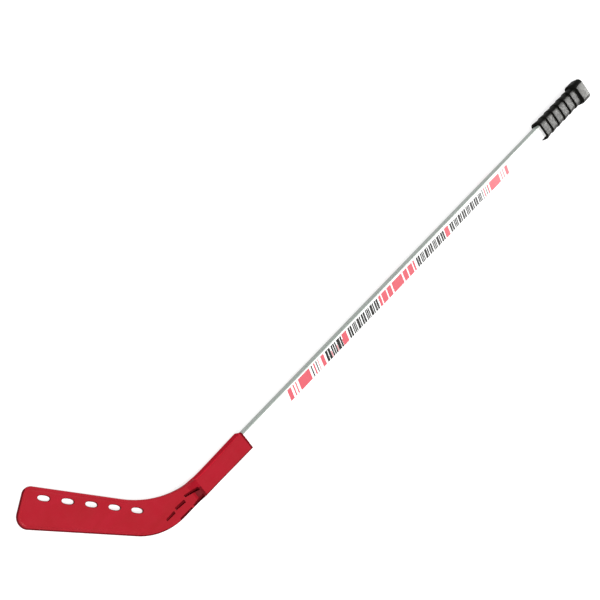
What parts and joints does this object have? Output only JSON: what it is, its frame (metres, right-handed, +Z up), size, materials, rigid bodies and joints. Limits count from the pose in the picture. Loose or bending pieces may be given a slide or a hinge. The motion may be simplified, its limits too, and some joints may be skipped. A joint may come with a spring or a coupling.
{
  "type": "ice hockey stick",
  "caption": "Straight-bladed plastic hockey stick with a slotted blade, hollow shaft, ribbed rubber grip and square butt knob.",
  "frame": {"origin": "on the floor under the middle of the stick's bounding box, the stick lying on its side", "axes": "+X along the shaft from the blade to the butt, +Y towards the side the toe is on, +Z up"},
  "size_m": [1.5904, 0.2286, 0.0354],
  "materials": {
    "blade_plastic": "moulded red plastic, satin gloss",
    "shaft_plastic": "white extruded plastic with printed bands, satin gloss",
    "grip_rubber": "black moulded rubber, slight sheen",
    "core_wood": "plain sawn wood",
    "plug_plastic": "plain moulded plastic",
    "screw_steel": "steel painted dark red, satin"
  },
  "bodies": {
    "root": {"blade": "blade_plastic", "shaft": "shaft_plastic", "core_block": "core_wood", "butt_plug": "plug_plastic", "hosel_screw_front": "screw_steel", "hosel_screw_back": "screw_steel", "grip_sleeve": "grip_rubber", "butt_knob": "grip_rubber"}
  },
  "joints": []
}
